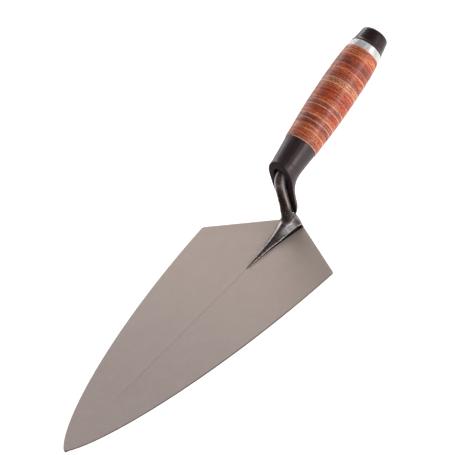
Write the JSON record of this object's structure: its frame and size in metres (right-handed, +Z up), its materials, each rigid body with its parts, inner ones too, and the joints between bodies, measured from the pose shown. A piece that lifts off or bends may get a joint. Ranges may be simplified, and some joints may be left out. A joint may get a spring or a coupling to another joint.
{
  "type": "brick trowel",
  "caption": "Brick trowel with a flat square-heel steel blade, a forged shank, a black finger guard and a stacked-leather handle.",
  "frame": {"origin": "on the blade's flat sole, on the centreline, under the blade's widest line", "axes": "+Z up out of the blade's top side, +Y along the tool from the tip to the handle, +X across the blade"},
  "size_m": [0.1394, 0.4181, 0.0956],
  "materials": {
    "blade_steel": "satin brushed",
    "forged_steel": "dark forged, semi-gloss",
    "guard_plastic": "satin moulded",
    "leather": "stacked, sanded and lacquered",
    "ring_aluminium": "turned and polished",
    "plated_steel": "zinc plated",
    "cap_plastic": "satin moulded"
  },
  "bodies": {
    "root": {"blade": "blade_steel", "shank": "forged_steel", "finger_guard": "guard_plastic", "leather_washer_01": "leather", "leather_washer_02": "leather", "leather_washer_03": "leather", "leather_washer_04": "leather", "leather_washer_05": "leather", "leather_washer_06": "leather", "leather_washer_07": "leather", "leather_washer_08": "leather", "leather_washer_09": "leather", "leather_washer_10": "leather", "leather_washer_11": "leather", "leather_washer_12": "leather", "leather_washer_13": "leather", "leather_washer_14": "leather", "leather_washer_15": "leather", "leather_washer_16": "leather", "leather_washer_17": "leather", "leather_washer_18": "leather", "leather_washer_19": "leather", "leather_washer_20": "leather", "end_ring": "ring_aluminium", "tang_washer": "plated_steel", "tang_nut": "plated_steel", "end_cap": "cap_plastic"}
  },
  "joints": []
}
